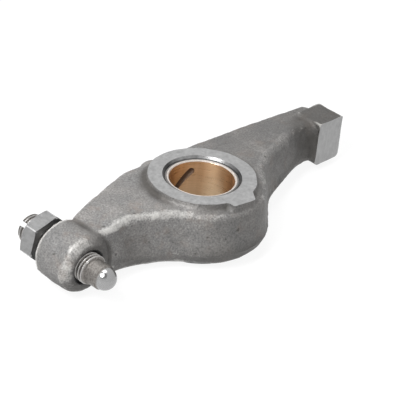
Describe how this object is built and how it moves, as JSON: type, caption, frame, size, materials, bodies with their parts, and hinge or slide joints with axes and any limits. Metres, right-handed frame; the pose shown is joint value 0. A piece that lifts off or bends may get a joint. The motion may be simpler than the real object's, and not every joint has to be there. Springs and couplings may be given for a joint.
{
  "type": "rocker arm",
  "caption": "Forged engine rocker arm with a bronze-lined shaft bore, a ball-ended adjusting screw with hexagon locknut at one end and a flat valve pad at the other.",
  "frame": {"origin": "centre of the shaft bore, on the mid-plane of the arm", "axes": "+Z along the shaft bore; +X towards the valve pad; -Y towards the ball tip and the ground face of the pad; the arm lies on its side as in the picture"},
  "size_m": [0.1655, 0.0558, 0.027],
  "materials": {
    "forging": "shot-blasted grey metal, machined faces on the boss and pad",
    "bronze": "bored bronze lining",
    "screw_steel": "satin steel, polished ball",
    "nut_steel": "satin steel"
  },
  "bodies": {
    "arm": {"rocker_arm": "forging", "bush": "bronze"},
    "screw": {"adjusting_screw": "screw_steel"},
    "nut": {"locknut": "nut_steel"}
  },
  "joints": [
    {"name": "lash_adjustment", "type": "slide", "parent": "arm", "child": "screw", "axis": [0, -1, 0], "range_m": [-0.006, 0.0045]},
    {"name": "locknut_turn", "type": "hinge", "parent": "screw", "child": "nut", "pos_m": [-0.0636, 0.0185, 0], "axis": [0, 1, 0], "continuous": true}
  ]
}
